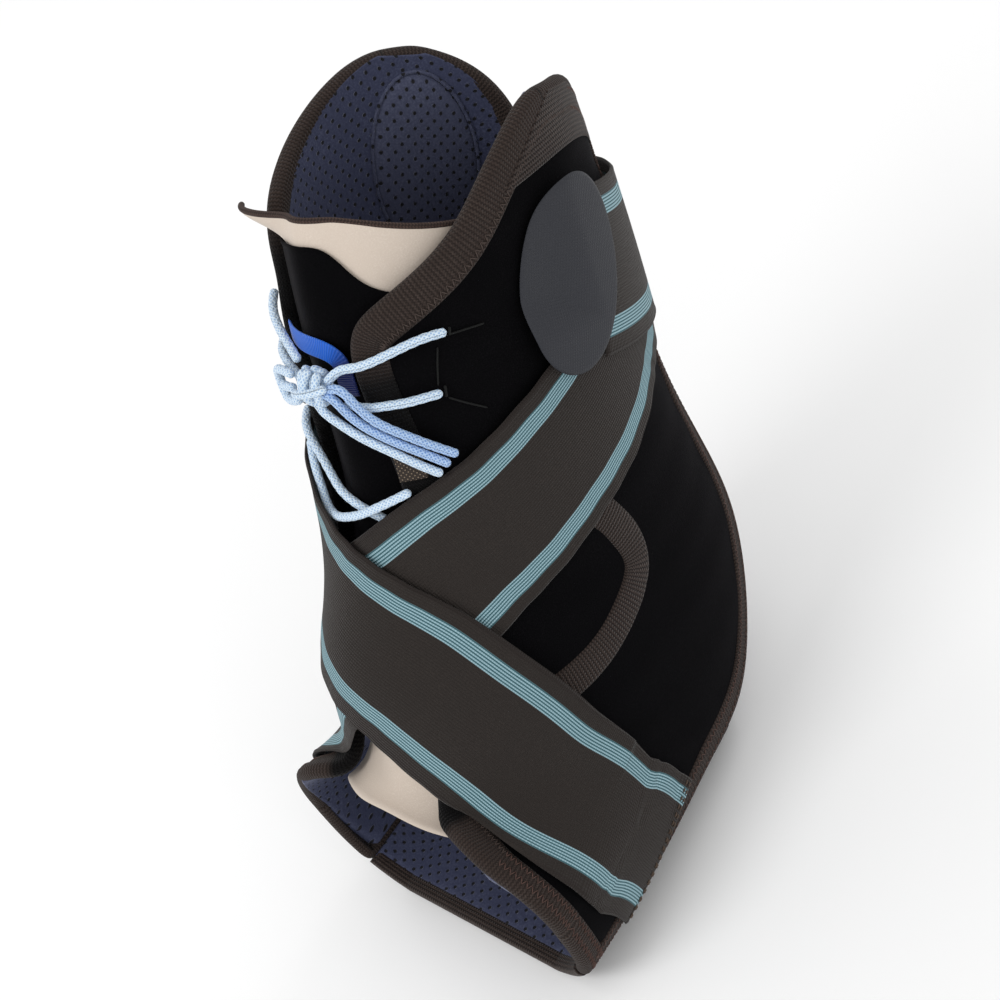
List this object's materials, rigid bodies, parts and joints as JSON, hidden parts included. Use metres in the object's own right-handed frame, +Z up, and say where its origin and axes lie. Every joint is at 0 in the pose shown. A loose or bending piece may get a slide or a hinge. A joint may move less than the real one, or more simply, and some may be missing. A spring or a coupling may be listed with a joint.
{
  "type": "ankle brace",
  "caption": "Lace-up ankle brace with padded side panels, a tongue, an open heel, and elastic straps that cross over the instep and end in hook tabs.",
  "frame": {"origin": "on the underside of the sole strip, midway between the sides, where the brace stands on the floor", "axes": "+Z up along the leaning leg, toes towards -Y, the side with the upper strap and the bow's ends towards +X"},
  "size_m": [0.1184, 0.1876, 0.2389],
  "materials": {
    "velvet": "short black loop pile",
    "brown_binding": "brown knitted binding with zigzag stitching",
    "lining": "navy perforated foam",
    "strap": "brown ribbed elastic with light teal stripes",
    "tab": "dark grey hook tape",
    "webbing": "woven webbing",
    "knit": "black stretch knit",
    "tongue": "beige padded cloth",
    "lace": "pale blue braided lace",
    "pull_tab": "royal blue tape"
  },
  "bodies": {
    "root": {"panel_near": "velvet", "panel_far": "velvet", "lining_near": "lining", "lining_far": "lining", "binding_near": "brown_binding", "binding_far": "brown_binding", "ear_cap_near": "brown_binding", "ear_cap_far": "brown_binding", "ear_pad_near": "lining", "ear_pad_far": "lining", "ankle_ring_near": "brown_binding", "ankle_ring_far": "brown_binding", "strap_near": "strap", "strap_far": "strap", "tab_near": "tab", "tab_far": "tab", "lace_loop_near": "webbing", "lace_loop_far": "webbing", "back_panel": "knit", "sole": "velvet", "sole_lining": "lining", "sole_edge": "brown_binding", "tongue": "tongue", "tongue_edge": "brown_binding", "tongue_cover": "velvet", "lace_upper_near": "lace", "lace_lower_near": "lace", "lace_upper_far": "lace", "lace_lower_far": "lace", "bow_end_a": "lace", "bow_end_b": "lace", "bow_end_c": "lace", "bow_loop_far": "lace", "bow_end_far": "lace", "lace_cross_far": "lace", "lace_cross_near": "lace", "lace_knot": "lace", "pull_tab": "pull_tab"}
  },
  "joints": []
}
